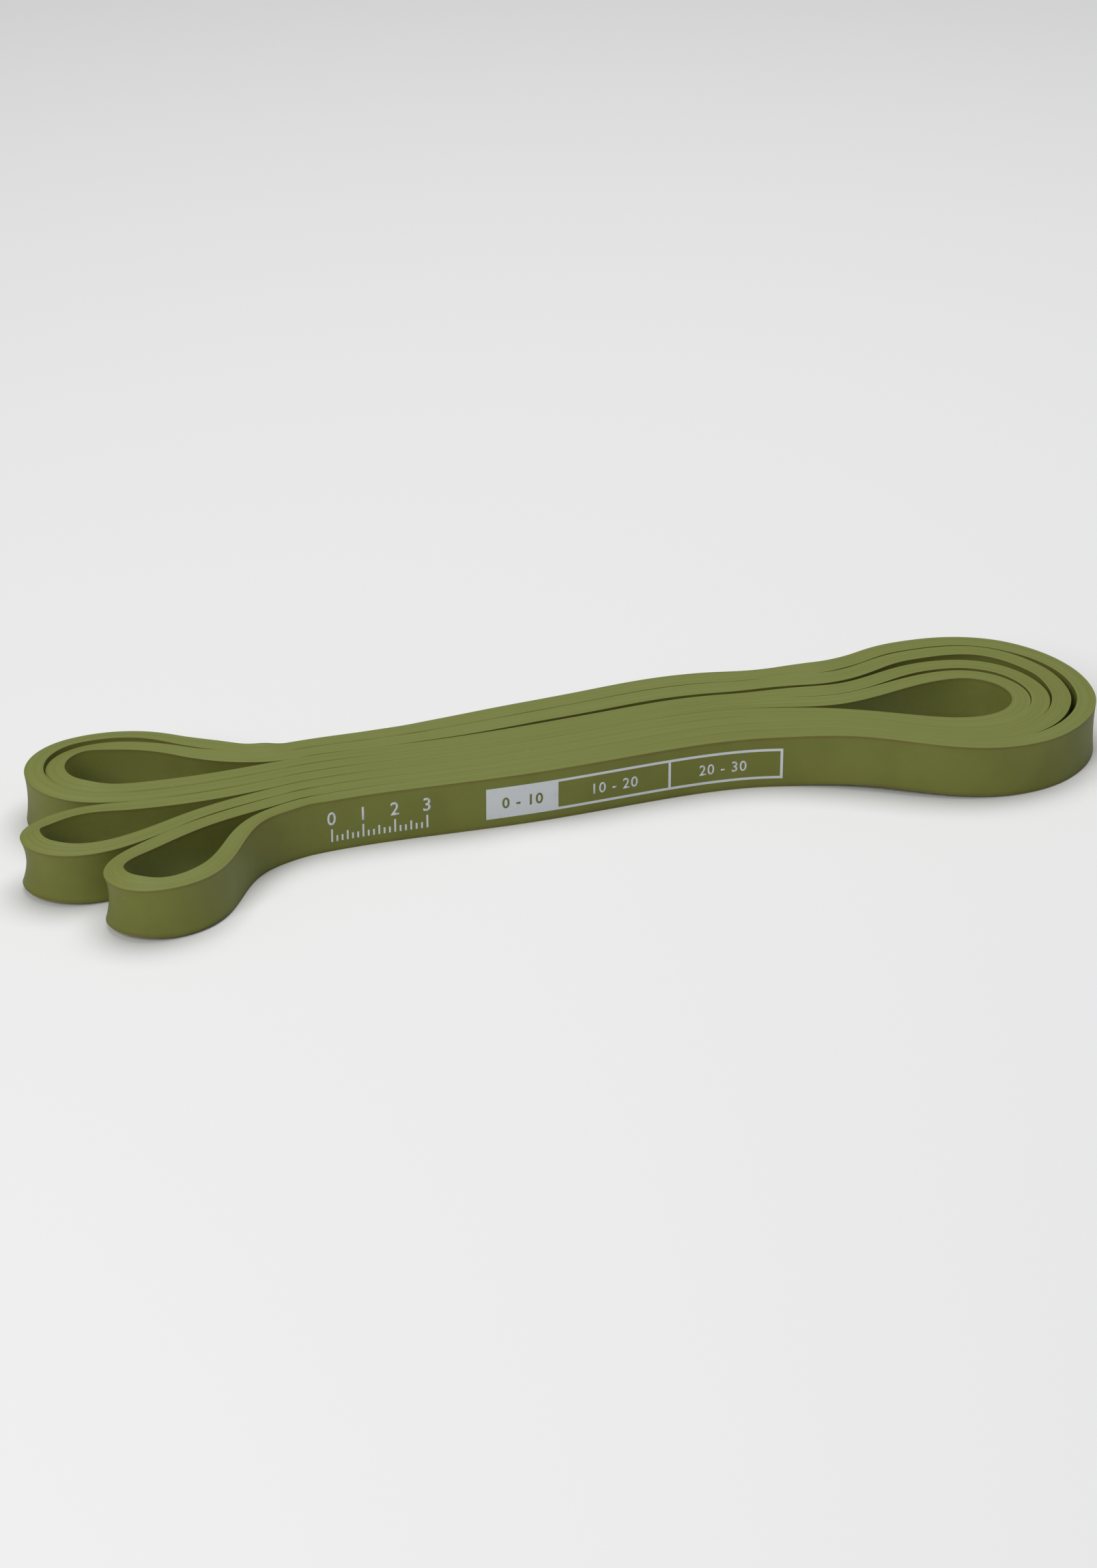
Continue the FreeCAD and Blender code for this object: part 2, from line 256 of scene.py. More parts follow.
def whole_loop():
    """The closed line of the band in the order that it runs, and the name of each stretch at each point."""
    turn_1 = turn_line(4, 5, LOOP_X, INNER_EYE)
    turn_2 = outside(turn_1, 3, 6, LOOP_X, SECOND_TURN_GAP)
    turn_3 = outside(turn_2, 2, 7, LOOP_X, THIRD_TURN_GAP)
    turn_4 = outside(turn_3, 1, 8, LOOP_X, OUTER_TURN_GAP)
    lobe_inner = turn_line(2, 3, HUB_X, BACK_LOBE_EYE)
    lobe_outer = turn_line(1, 4, HUB_X, BACK_LOBE_OUTSIDE)
    middle = turn_line(6, 5, HUB_X, MIDDLE_LOBE)
    front = turn_line(8, 7, HUB_X, FRONT_LOBE)
    return [
        ("strand_1", strand_line(1, True)), ("right_turn_4", turn_4),
        ("strand_8", strand_line(8, False)), ("front_lobe", front),
        ("strand_7", strand_line(7, True)), ("right_turn_3", turn_3[::-1]),
        ("strand_2", strand_line(2, False)), ("back_lobe_inner", lobe_inner),
        ("strand_3", strand_line(3, True)), ("right_turn_2", turn_2),
        ("strand_6", strand_line(6, False)), ("middle_lobe", middle),
        ("strand_5", strand_line(5, True)), ("right_turn_1", turn_1[::-1]),
        ("strand_4", strand_line(4, False)), ("back_lobe_outer", lobe_outer[::-1]),
    ]


def smoothed(columns, sigma):
    """A closed line's columns evened out along it."""
    reach = int(4 * sigma) + 1
    weights = np.exp(-0.5 * (np.arange(-reach, reach + 1) / sigma) ** 2)
    weights /= weights.sum()
    out = np.zeros_like(columns)
    for offset, weight in zip(range(-reach, reach + 1), weights):
        out += weight * np.roll(columns, offset, axis=0)
    return out


def stretches(step, sigma):
    """Each stretch's rings: X, Y, thickness, normal X, normal Y, curvature and length along the band.

    A stretch has one ring more at each end, from its neighbour, so that the shading runs on over the joint.
    """
    run = whole_loop()
    line = np.concatenate([points[:-1] for name, points in run])
    at = lengths(np.vstack([line, line[:1]]))
    count = int(round(at[-1] / step))
    even = np.linspace(0, at[-1], count, endpoint=False)
    closed = np.vstack([line, line[:1]])
    rings = np.column_stack([np.interp(even, at, closed[:, k]) for k in range(3)])
    rings = smoothed(rings, sigma / step)
    ahead = np.roll(rings[:, :2], -1, axis=0)
    behind = np.roll(rings[:, :2], 1, axis=0)
    along = ahead - behind
    along /= np.hypot(*along.T)[:, None]
    heading = np.unwrap(np.arctan2(along[:, 1], along[:, 0]))
    rounds = round((heading[-1] - heading[0]) / math.tau)
    turned = np.diff(np.concatenate([heading, [heading[0] + rounds * math.tau]]))
    curvature = smoothed(turned[:, None] / step, CURVE_SMOOTHING / step)[:, 0]
    rings = np.column_stack([rings, -along[:, 1], along[:, 0], curvature, even])

    middle = np.abs(rings[:, 0] - (HUB_X + LOOP_X) / 2) <= (LOOP_X - HUB_X) / 2
    starts = [i for i in range(count) if middle[i] != middle[i - 1]]
    named = {}
    for first, last in zip(starts, starts[1:] + [starts[0] + count]):
        order = np.arange(first - 1, last + 2)
        piece = rings[order % count].copy()
        piece[:, 6] = order * step
        named[name_at(run, even[(first + last) // 2 % count])] = piece
    return named


def name_at(run, distance):
    """The stretch that lies at a distance along the closed line."""
    for name, points in run:
        distance -= lengths(points)[-1]
        if distance < 0:
            return name
    return run[-1][0]


def lean_and_lift(name, x, share):
    """How far a stretch's rings lean inwards, in radians, and how far they stand off the floor, in mm."""
    if name in ("strand_1", "strand_2"):
        lean = eased(BACK_LEAN, x)
        lift = np.sin(np.radians(lean)) * BAND_THICKNESS * (name == "strand_1")
        return np.radians(lean), lift
    if name.startswith("right_turn_"):
        layer = int(name[-1]) - 1
        ends = eased(BACK_LEAN, np.array([LOOP_X]))[0]
        lean = eased(TURN_LEAN, share) * eased(LEAN_START, share)
        lift = layer * eased(TURN_LIFT, share)
        if layer >= 2:
            fade = eased(HANDOVER, share)
            lean = lean + fade * (ends - lean)
            lift = lift + fade * math.sin(math.radians(ends)) * BAND_THICKNESS * (layer - 2)
        return np.radians(lean), lift
    if name == "back_lobe_outer":
        return np.zeros_like(x), eased(LOBE_LIFT, share)
    if name == "back_lobe_inner":
        return np.radians(eased(LOBE_LEAN, share)), np.zeros_like(x)
    return np.zeros_like(x), np.zeros_like(x)


# ------------------------------------------------------------------ the band's pieces

JOIN_PLACE = 217.5 * MM
CORNER_STEPS = 4
FACE_STEPS = 10
RIM_STEPS = 4
RUNS = {
    "strand_1": "back_run", "strand_2": "second_run", "strand_3": "third_run", "strand_4": "fourth_run",
    "strand_5": "fifth_run", "strand_6": "sixth_run", "strand_7": "seventh_run", "strand_8": "front_run",
}
LOBE_BODIES = {"back_lobe_outer": "back_lobe", "back_lobe_inner": "back_lobe",
               "middle_lobe": "middle_lobe", "front_lobe": "front_lobe"}


def section(radius):
    """The band's section with rounded edges, as (across, height) from its middle in mm, in order."""
    half_t, half_w = BAND_THICKNESS / 2, BAND_WIDTH / 2
    corners = [(1, -1, -90), (1, 1, 0), (-1, 1, 90), (-1, -1, 180)]
    points = []
    for side_t, side_w, start in corners:
        for step in range(CORNER_STEPS + 1):
            angle = math.radians(start + 90 * step / CORNER_STEPS)
            across = side_t * (half_t - radius) + radius * math.cos(angle)
            height = side_w * (half_w - radius) + radius * math.sin(angle)
            points.append((across, height))
        next_t, next_w, next_start = corners[(corners.index((side_t, side_w, start)) + 1) % 4]
        steps = FACE_STEPS if next_t == side_t else RIM_STEPS
        angle = math.radians(next_start)
        goal = (next_t * (half_t - radius) + radius * math.cos(angle),
                next_w * (half_w - radius) + radius * math.sin(angle))
        here = points[-1]
        for step in range(1, steps):
            points.append(tuple(here[k] + (goal[k] - here[k]) * step / steps for k in (0, 1)))
    return np.array(points)


def straight_strip(name, outline, rings):
    """A straight length of the band, modelled from its section with a ring of vertices at each step."""
    bpy.ops.object.select_all(action="DESELECT")
    bpy.ops.mesh.primitive_circle_add(vertices=len(outline), radius=1, fill_type="NOTHING")
    strip = bpy.context.object
    strip.name = name
    for vertex, (across, height) in zip(strip.data.vertices, outline):
        vertex.co = (0, across, height)
    run = strip.modifiers.new("run", "SCREW")
    run.axis = "X"
    run.angle = 0
    run.screw_offset = rings - 1
    run.steps = rings - 1
    run.render_steps = rings - 1
    run.use_smooth_shade = True
    bpy.ops.object.modifier_apply(modifier=run.name)
    return strip


def bent_places(name, rings, outline, poisson):
    """Where each point of each ring's section goes, in mm, its edges flared as rubber's are in a bend."""
    x, y, thick, normal_x, normal_y, curve, along = (rings[:, k][:, None] for k in range(7))
    across = outline[:, 0][None, :] * thick / BAND_THICKNESS
    height = outline[:, 1][None, :]
    half = BAND_WIDTH / 2
    share = np.clip((np.arange(len(rings)) - 1) / (len(rings) - 3), 0, 1)[:, None]
    if name in ("right_turn_1", "right_turn_3"):
        share = 1 - share
    lean, lift = lean_and_lift(name, x, share)
    flare = poisson * curve
    sideways = across + flare * (half ** 2 - height ** 2) / 2
    held = eased(NEST_HOLD, x)
    upright = height * (1 + held * flare * across) + half + held * np.abs(flare) * half * thick / 2
    back = np.where(normal_y >= 0, 1.0, -1.0)
    outer = back * sideways + thick / 2
    top = upright - BAND_WIDTH
    leaned = outer * np.cos(lean) - top * np.sin(lean)
    risen = upright * np.cos(lean) + BAND_WIDTH * (1 - np.cos(lean)) + outer * np.sin(lean) + lift
    sideways = back * (leaned - thick / 2)
    places = np.stack([x + sideways * normal_x, y + sideways * normal_y, risen], 2)
    return places, across, height, along


def side_normals(places):
    """Normals of the band's skin at each ring between the first and the last."""
    ahead = places[2:] - places[:-2]
    inner = places[1:-1]
    around = np.roll(inner, -1, axis=1) - np.roll(inner, 1, axis=1)
    normals = np.cross(around, ahead)
    return normals / np.linalg.norm(normals, axis=2)[:, :, None]


def keep_vectors(mesh, name, vectors):
    """Stores a vector at each vertex."""
    mesh.attributes.new(name, "FLOAT_VECTOR", "POINT").data.foreach_set("vector", vectors.ravel())


def bend_strip(strip, name, rings, outline, poisson):
    """Lays a straight strip along its rings and keeps where each point is on the band."""
    count = len(outline)
    start = np.empty(len(strip.data.vertices) * 3)
    strip.data.vertices.foreach_get("co", start)
    ring = np.rint(start[::3]).astype(int)
    if len(ring) != count * (len(rings) - 2):
        raise RuntimeError(f"{name} has {len(ring)} vertices for {len(rings) - 2} rings of {count}")
    point = np.arange(len(ring)) % count
    places, across, height, along = bent_places(name, rings, outline, poisson)
    strip.data.vertices.foreach_set("co", (places[1:-1][ring, point] * MM).ravel())
    band_places = np.stack([along[1:-1][ring, 0], across[1:-1][ring, point], height[0][point]], 1) * MM
    keep_vectors(strip.data, "band_place", band_places)
    keep_vectors(strip.data, "skin_normal", side_normals(places)[ring, point])
    strip.data.update()


def close_ends(strip):
    """Fills both cut ends, turns the faces outwards and shades the skin as one with its neighbours'."""
    bpy.ops.object.select_all(action="DESELECT")
    strip.select_set(True)
    bpy.context.view_layer.objects.active = strip
    bpy.ops.object.mode_set(mode="EDIT")
    bpy.ops.mesh.select_all(action="SELECT")
    bpy.ops.mesh.fill_holes(sides=0)
    bpy.ops.mesh.normals_make_consistent(inside=False)
    bpy.ops.object.mode_set(mode="OBJECT")
    mesh = strip.data
    skin = np.empty(len(mesh.vertices) * 3)
    mesh.attributes["skin_normal"].data.foreach_get("vector", skin)
    skin = skin.reshape(-1, 3)
    shading = []
    for face in mesh.polygons:
        face.use_smooth = True
        cap = face.loop_total > 4
        sign = 1 if skin[face.vertices[0]] @ np.array(face.normal) > 0 else -1
        shading += [tuple(face.normal) if cap else tuple(skin[v] * sign) for v in face.vertices]
    mesh.attributes.remove(mesh.attributes["skin_normal"])
    mesh.normals_split_custom_set(shading)


def band_loop(settings):
    """The rings of every stretch at the settings' step."""
    return stretches(settings.ring_step / MM, settings.smoothing / MM)


def make_stretch(name, settings, loop):
    """One stretch of the band as a finished mesh."""
    rings = loop[name]
    outline = section(settings.edge_radius / MM)
    label = RUNS.get(name, f"{name}_latex")
    strip = straight_strip(label, outline, len(rings) - 2)
    bend_strip(strip, name, rings, outline, settings.poisson)
    close_ends(strip)
    strip.data.materials.clear()
    strip.data.materials.append(latex_material())
    return strip


# ------------------------------------------------------------------ finishes

EVEN = (1, 1, 1)
FINE_PLIES = (14, 3600, 1)
BROAD_PLIES = (6, 1300, 1)
SKIN_WAVES = (60, 150, 150)
GRAIN_SCALE = 2600.0
CLOUD_SCALE = 55.0
SPECK_SCALE = 190.0
SPECK_PATCHES = 90.0
INK_SCALE = 420.0
RIM_FADE = (0.12 * MM, 0.04 * MM)
LIP_FADE = (1.1 * MM, 0.15 * MM)
JOIN_FADE = (0.15 * MM, 0.4 * MM)


def new_material(name):
    """A node material with a Principled shader."""
    material = bpy.data.materials.new(name)
    material.use_nodes = True
    return material, material.node_tree.nodes, material.node_tree.links


def new_group(name, inputs, outputs):
    """A shader node group with named vector inputs and named value outputs."""
    group = bpy.data.node_groups.new(name, "ShaderNodeTree")
    for label in inputs:
        group.interface.new_socket(label, in_out="INPUT", socket_type="NodeSocketVector")
    for label in outputs:
        group.interface.new_socket(label, in_out="OUTPUT", socket_type="NodeSocketFloat")
    return group, group.nodes.new("NodeGroupInput"), group.nodes.new("NodeGroupOutput")


def math_node(tree, operation, first, second=None, third=None, clamp=False):
    """A Math node fed by sockets or by numbers; gives its output."""
    node = tree.nodes.new("ShaderNodeMath")
    node.operation = operation
    node.use_clamp = clamp
    for slot, value in enumerate((first, second, third)):
        if isinstance(value, bpy.types.NodeSocket):
            tree.links.new(value, node.inputs[slot])
        elif value is not None:
            node.inputs[slot].default_value = value
    return node.outputs[0]


def weighted_sum(tree, first, first_share, second, second_share):
    """Two values added in given shares."""
    scaled = math_node(tree, "MULTIPLY", first, first_share)
    return math_node(tree, "ADD", scaled, math_node(tree, "MULTIPLY", second, second_share))


def noise_node(tree, place, stretch, scale, detail, roughness):
    """A noise of a place that is stretched first; gives its value from 0 to 1."""
    mapping = tree.nodes.new("ShaderNodeMapping")
    mapping.inputs["Scale"].default_value = stretch
    noise = tree.nodes.new("ShaderNodeTexNoise")
    noise.inputs["Scale"].default_value = scale
    noise.inputs["Detail"].default_value = detail
    noise.inputs["Roughness"].default_value = roughness
    tree.links.new(place, mapping.inputs["Vector"])
    tree.links.new(mapping.outputs["Vector"], noise.inputs["Vector"])
    return noise.outputs["Fac"]


def ramp(tree, value, low, high):
    """Smoothly 0 below low and 1 above high."""
    node = tree.nodes.new("ShaderNodeMapRange")
    node.interpolation_type = "SMOOTHSTEP"
    tree.links.new(value, node.inputs["Value"])
    node.inputs["From Min"].default_value = low
    node.inputs["From Max"].default_value = high
    return node.outputs["Result"]


def mix_colour(tree, share, first, second, blend="MIX"):
    """A colour mix fed by sockets or colours; gives its output."""
    node = tree.nodes.new("ShaderNodeMix")
    node.data_type = "RGBA"
    node.blend_type = blend
    for slot, value in ((node.inputs[0], share), (node.inputs[6], first), (node.inputs[7], second)):
        if isinstance(value, bpy.types.NodeSocket):
            tree.links.new(value, slot)
        else:
            slot.default_value = value if isinstance(value, float) else (*value, 1)
    return node.outputs[2]


def plies_group():
    """The thin sheets that the band is built up of, as lines on its cut edges.

    Lines are fine lengthwise streaks, Rim is 1 on the cut edges, Lip is 1 close beside them on the faces.
    """
    group, given, out = new_group("latex_plies", ["Place"], ["Lines", "Rim", "Lip"])
    place = given.outputs["Place"]
    split = group.nodes.new("ShaderNodeSeparateXYZ")
    group.links.new(place, split.inputs[0])
    height = math_node(group, "ABSOLUTE", split.outputs[2])
    half = BAND_WIDTH / 2 * MM
    rim = ramp(group, height, half - RIM_FADE[0], half - RIM_FADE[1])
    lip = ramp(group, height, half - LIP_FADE[0], half - LIP_FADE[1])
    fine = noise_node(group, place, FINE_PLIES, 1.0, 4.0, 0.65)
    broad = noise_node(group, place, BROAD_PLIES, 1.0, 2.0, 0.5)
    streaks = weighted_sum(group, fine, 0.6, broad, 0.4)
    lines = math_node(group, "MULTIPLY", math_node(group, "SUBTRACT", streaks, 0.5), rim)
    group.links.new(lines, out.inputs["Lines"])
    group.links.new(rim, out.inputs["Rim"])
    group.links.new(lip, out.inputs["Lip"])
    return group


def grain_group():
    """The fine grain and the soft clouds of layered latex, and its rare pale specks."""
    group, given, out = new_group("latex_grain", ["Place", "Solid"], ["Height", "Clouds", "Specks"])
    solid = given.outputs["Solid"]
    fine = noise_node(group, solid, EVEN, GRAIN_SCALE, 4.0, 0.6)
    waves = noise_node(group, given.outputs["Place"], SKIN_WAVES, 1.0, 2.0, 0.5)
    height = weighted_sum(group, fine, 0.35, waves, 0.65)
    clouds = noise_node(group, solid, EVEN, CLOUD_SCALE, 3.0, 0.55)
    dots = group.nodes.new("ShaderNodeTexVoronoi")
    dots.inputs["Scale"].default_value = SPECK_SCALE
    group.links.new(solid, dots.inputs["Vector"])
    outside_dot = ramp(group, dots.outputs["Distance"], 0.03, 0.075)
    inside_dot = math_node(group, "SUBTRACT", 1.0, outside_dot)
    rare = noise_node(group, solid, EVEN, SPECK_PATCHES, 1.0, 0.5)
    specks = math_node(group, "MULTIPLY", inside_dot, ramp(group, rare, 0.60, 0.66))
    group.links.new(height, out.inputs["Height"])
    group.links.new(clouds, out.inputs["Clouds"])
    group.links.new(specks, out.inputs["Specks"])
    return group


def place_group(tree, group, **links):
    """Puts a node group into a material and feeds its named inputs."""
    node = tree.nodes.new("ShaderNodeGroup")
    node.node_tree = group
    for label, value in links.items():
        tree.links.new(value, node.inputs[label])
    return node.outputs


def surface_places(tree):
    """The place on the band and the place in space, as sockets."""
    band = tree.nodes.new("ShaderNodeAttribute")
    band.attribute_name = "band_place"
    solid = tree.nodes.new("ShaderNodeTexCoord")
    return band.outputs["Vector"], solid.outputs["Object"]


def shared_group(name, build):
    """A node group that is built once."""
    return bpy.data.node_groups.get(name) or build()


def add_bump(material, height, strength, distance):
    """Feeds a height to the material's shader as a bump."""
    nodes, links = material.node_tree.nodes, material.node_tree.links
    bump = nodes.new("ShaderNodeBump")
    bump.inputs["Strength"].default_value = strength
    bump.inputs["Distance"].default_value = distance
    links.new(height, bump.inputs["Height"])
    links.new(bump.outputs["Normal"], nodes["Principled BSDF"].inputs["Normal"])


def latex_material():
    """Moulded layered latex: streaked cut edges painted lighter as if lit from above, browned lips, soft
    clouds and a fine grain.
    """
    if "olive_latex" in bpy.data.materials:
        return bpy.data.materials["olive_latex"]
    finish = bpy.context.scene.band_finish
    material, nodes, links = new_material("olive_latex")
    tree = material.node_tree
    shader = nodes["Principled BSDF"]
    place, solid = surface_places(tree)
    plies = place_group(tree, shared_group("latex_plies", plies_group), Place=place)
    grain = place_group(tree, shared_group("latex_grain", grain_group), Place=place, Solid=solid)
    dim = math_node(tree, "MULTIPLY", ramp(tree, grain["Clouds"], 0.42, 0.64), 0.55)
    clouded = mix_colour(tree, dim, finish.latex, finish.latex_deep)
    # Painted light: the cut edges, which face up, are painted lighter green, as the light from above makes
    # them look
    rims_painted_lighter = mix_colour(tree, math_node(tree, "MULTIPLY", plies["Rim"], 0.8), clouded, finish.rim)
    dark_lines = math_node(tree, "MULTIPLY_ADD", plies["Lines"], -1.7, 0.0, clamp=True)
    streaked = mix_colour(tree, dark_lines, rims_painted_lighter, finish.edge_brown)
    pale_lines = math_node(tree, "MULTIPLY_ADD", plies["Lines"], 1.2, 0.0, clamp=True)
    paled = mix_colour(tree, pale_lines, streaked, finish.bloom)
    split = nodes.new("ShaderNodeSeparateXYZ")
    links.new(place, split.inputs[0])
    away = math_node(tree, "ABSOLUTE", math_node(tree, "SUBTRACT", split.outputs[0], JOIN_PLACE))
    join = math_node(tree, "SUBTRACT", 1.0, ramp(tree, away, *JOIN_FADE))
    off_rim = math_node(tree, "SUBTRACT", 0.6, plies["Rim"], clamp=True)
    joined = mix_colour(tree, math_node(tree, "MULTIPLY", join, off_rim), paled, finish.bloom)
    beside_rim = math_node(tree, "SUBTRACT", plies["Lip"], plies["Rim"], clamp=True)
    brown = math_node(tree, "MULTIPLY_ADD", grain["Clouds"], 0.9, 0.05)
    browned = mix_colour(tree, math_node(tree, "MULTIPLY", beside_rim, brown), joined, finish.edge_brown)
    flecked = mix_colour(tree, math_node(tree, "MULTIPLY", grain["Specks"], 0.45), browned, finish.bloom)
    links.new(flecked, shader.inputs["Base Color"])
    links.new(math_node(tree, "MULTIPLY_ADD", grain["Clouds"], 0.16, 0.48), shader.inputs["Roughness"])
    ridges = math_node(tree, "MULTIPLY_ADD", plies["Lines"], 1.1, grain["Height"])
    add_bump(material, ridges, 0.35, 0.18 * MM)
    shader.inputs["Specular IOR Level"].default_value = 0.22
    return material


def ink_material():
    """Screen-printed ink: a pale film, a little worn and uneven, with the latex's grain under it."""
    if "pale_ink" in bpy.data.materials:
        return bpy.data.materials["pale_ink"]
    finish = bpy.context.scene.band_finish
    material, nodes, links = new_material("pale_ink")
    tree = material.node_tree
    shader = nodes["Principled BSDF"]
    place, solid = surface_places(tree)
    grain = place_group(tree, shared_group("latex_grain", grain_group), Place=place, Solid=solid)
    thin = ramp(tree, noise_node(tree, solid, EVEN, INK_SCALE, 3.0, 0.6), 0.58, 0.78)
    worn = mix_colour(tree, math_node(tree, "MULTIPLY", thin, 0.12), finish.print_ink, finish.latex)
    clouded = mix_colour(tree, math_node(tree, "MULTIPLY", grain["Clouds"], 0.25), worn, finish.ink_shade)
    links.new(clouded, shader.inputs["Base Color"])
    links.new(math_node(tree, "MULTIPLY_ADD", thin, 0.2, 0.5), shader.inputs["Roughness"])
    add_bump(material, grain["Height"], 0.25, 0.1 * MM)
    shader.inputs["Specular IOR Level"].default_value = 0.3
    return material


def dark_material():
    """The latex left bare inside the printed block, as a dark mark."""
    if "bare_mark" in bpy.data.materials:
        return bpy.data.materials["bare_mark"]
    finish = bpy.context.scene.band_finish
    material, nodes, links = new_material("bare_mark")
    tree = material.node_tree
    shader = nodes["Principled BSDF"]
    place, solid = surface_places(tree)
    grain = place_group(tree, shared_group("latex_grain", grain_group), Place=place, Solid=solid)
    clouded = mix_colour(tree, grain["Clouds"], finish.latex, finish.latex_deep)
    links.new(clouded, shader.inputs["Base Color"])
    links.new(math_node(tree, "MULTIPLY_ADD", grain["Clouds"], 0.16, 0.48), shader.inputs["Roughness"])
    shader.inputs["Specular IOR Level"].default_value = 0.2
    return material


# ------------------------------------------------------------------ printed marks

INK_LIFT = 0.04
INK_STEP = 1.0
BLOCK = (-24.0, -6.6)
CELL_WALL = 21.4
FRAME_END = 49.6
FRAME_LOW, FRAME_HIGH = 2.3, 10.0
LINE = 0.62
SCALE_SPAN = (-61.0, -38.0)
TICKS = 18
TICK_HALF_WIDTH = 0.22
TICK_BASE = 2.4
LONG_TICK, MIDDLE_TICK, SHORT_TICK = 5.6, 4.7, 3.9
SCALE_FIGURE_BASE, SCALE_FIGURE_SIZE = 6.7, 4.6
CELL_FIGURE_BASE, CELL_FIGURE_SIZE = 4.75, 3.7
LAST_CELL_SHIFT = 0.6
FIGURE_SPACING = 1.12
FIGURE_WEIGHT = 0.012
MERGE_WITHIN = 0.0005


def flat_bar(start, end, low, high):
    """A flat bar in mm along X and up, cut into small faces so that it can follow the band."""
    columns = max(1, round((end - start) / INK_STEP))
    rows = max(1, round((high - low) / INK_STEP))
    bpy.ops.object.select_all(action="DESELECT")
    bpy.ops.mesh.primitive_grid_add(x_subdivisions=columns, y_subdivisions=rows, size=1)
    bar = bpy.context.object
    for vertex in bar.data.vertices:
        across, up = vertex.co.x + 0.5, vertex.co.y + 0.5
        vertex.co = (start + (end - start) * across, 0, low + (high - low) * up)
    return bar


def figures_mesh(text, centre, base, size):
    """Plain upright figures as a flat mesh, in mm along X and up."""
    bpy.ops.object.select_all(action="DESELECT")
    bpy.ops.object.text_add(rotation=(math.pi / 2, 0, 0))
    figures = bpy.context.object
    figures.data.body = text
    figures.data.size = size
    figures.data.align_x = "CENTER"
    figures.data.space_character = FIGURE_SPACING
    figures.data.offset = FIGURE_WEIGHT * size
    figures.data.resolution_u = 5
    bpy.ops.object.convert(target="MESH")
    bpy.ops.object.transform_apply(location=True, rotation=True, scale=True)
    for vertex in figures.data.vertices:
        vertex.co = (vertex.co.x + centre, 0, vertex.co.z + base)
    return figures


def lay_print(pieces, name, settings, rings, level=0.0):
    """Joins flat marks, lays them on the band's front face, and gives the ink its thickness."""
    bpy.ops.object.select_all(action="DESELECT")
    for piece in pieces:
        piece.select_set(True)
    bpy.context.view_layer.objects.active = pieces[0]
    if len(pieces) > 1:
        bpy.ops.object.join()
    ink = bpy.context.object
    ink.name = name
    bpy.ops.object.mode_set(mode="EDIT")
    bpy.ops.mesh.select_all(action="SELECT")
    bpy.ops.mesh.remove_doubles(threshold=MERGE_WITHIN)
    bpy.ops.object.mode_set(mode="OBJECT")
    rings = rings[rings[:, 1] < 0]
    rings = rings[np.argsort(rings[:, 0])]
    front = np.where(rings[:, 4] > 0, -1.0, 1.0)
    height = np.array([vertex.co.z for vertex in ink.data.vertices])
    x = np.array([vertex.co.x for vertex in ink.data.vertices])
    half = BAND_WIDTH / 2
    middle, thick, normal_x, normal_y, curve = (np.interp(x, rings[:, 0], rings[:, k]) for k in range(1, 6))
    across = np.interp(x, rings[:, 0], front) * (thick / 2 + INK_LIFT / 2 + level)
    sideways = across + settings.poisson * curve * (half ** 2 - (height - half) ** 2) / 2
    places = np.stack([x + sideways * normal_x, middle + sideways * normal_y, height], 1) * MM
    ink.data.vertices.foreach_set("co", places.ravel())
    ink.data.update()
    shell = ink.modifiers.new("film", "SOLIDIFY")
    shell.thickness = INK_LIFT * MM
    shell.offset = 0
    bpy.ops.object.modifier_apply(modifier=shell.name)
    bpy.ops.object.mode_set(mode="EDIT")
    bpy.ops.mesh.select_all(action="SELECT")
    bpy.ops.mesh.normals_make_consistent(inside=False)
    bpy.ops.object.mode_set(mode="OBJECT")
    return ink


def finish_print(ink, material):
    """Gives a print its material and bakes its placement into its mesh."""
    ink.data.materials.clear()
    ink.data.materials.append(material)
    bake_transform(ink)


# ------------------------------------------------------------------ operators

class MakeRuns(bpy.types.Operator):
    """Make the eight runs that lie side by side in the bundle"""
    bl_idname = "band.make_runs"
    bl_label = "Runs"

    def execute(self, context):
        settings = context.scene.band_settings
        loop = band_loop(settings)
        for name in RUNS:
            run = make_stretch(name, settings, loop)
            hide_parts(name, name.replace("strand", "neck"))
            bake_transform(run)
        return {"FINISHED"}


class MakeRightLoop(bpy.types.Operator):
    """Make the four nested turns at the right"""
    bl_idname = "band.make_right_loop"
    bl_label = "Right loop"

    def execute(self, context):
        settings = context.scene.band_settings
        loop = band_loop(settings)
        for layer in range(1, 5):
            turn = make_stretch(f"right_turn_{layer}", settings, loop)
            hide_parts(f"right_turn_{layer}")
            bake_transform(turn)
        return {"FINISHED"}


class MakeLobes(bpy.types.Operator):
    """Make the turns of the three lobes at the left"""
    bl_idname = "band.make_lobes"
    bl_label = "Lobes"

    def execute(self, context):
        settings = context.scene.band_settings
        loop = band_loop(settings)
        for name, body in LOBE_BODIES.items():
            turn = make_stretch(name, settings, loop)
            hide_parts(name)
            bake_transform(turn)
        return {"FINISHED"}


